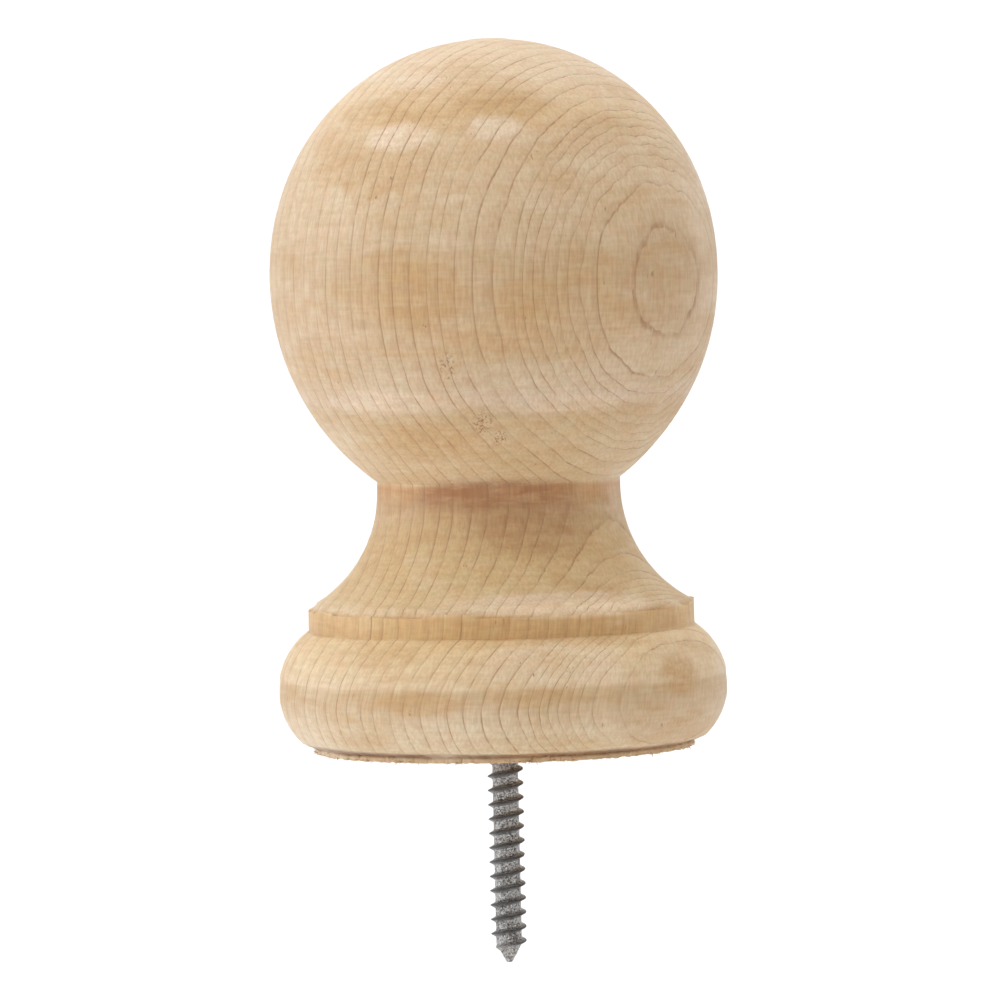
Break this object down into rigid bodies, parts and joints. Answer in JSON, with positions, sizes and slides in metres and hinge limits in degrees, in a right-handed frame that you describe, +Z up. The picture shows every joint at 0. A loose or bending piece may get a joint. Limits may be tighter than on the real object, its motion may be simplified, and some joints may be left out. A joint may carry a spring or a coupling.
{
  "type": "fence post cap",
  "caption": "Turned wooden ball finial with a coved neck and a round base roll, and a dowel screw in its underside that goes into the top of a post.",
  "frame": {"origin": "where the screw's axis meets the flat underside, at the middle of the post's top", "axes": "+Z up, along the turning's axis and the screw's axis, from the post to the top of the ball; -Y towards the viewer of the side whose growth rings show as straight lines"},
  "size_m": [0.0794, 0.0794, 0.1631],
  "materials": {
    "bare_pine": "bare, unfinished softwood, turned and lightly sanded",
    "dull_zinc": "dull zinc on rolled steel, grey and grainy"
  },
  "bodies": {
    "root": {"turned_body": "bare_pine", "dowel_screw": "dull_zinc"}
  },
  "joints": []
}
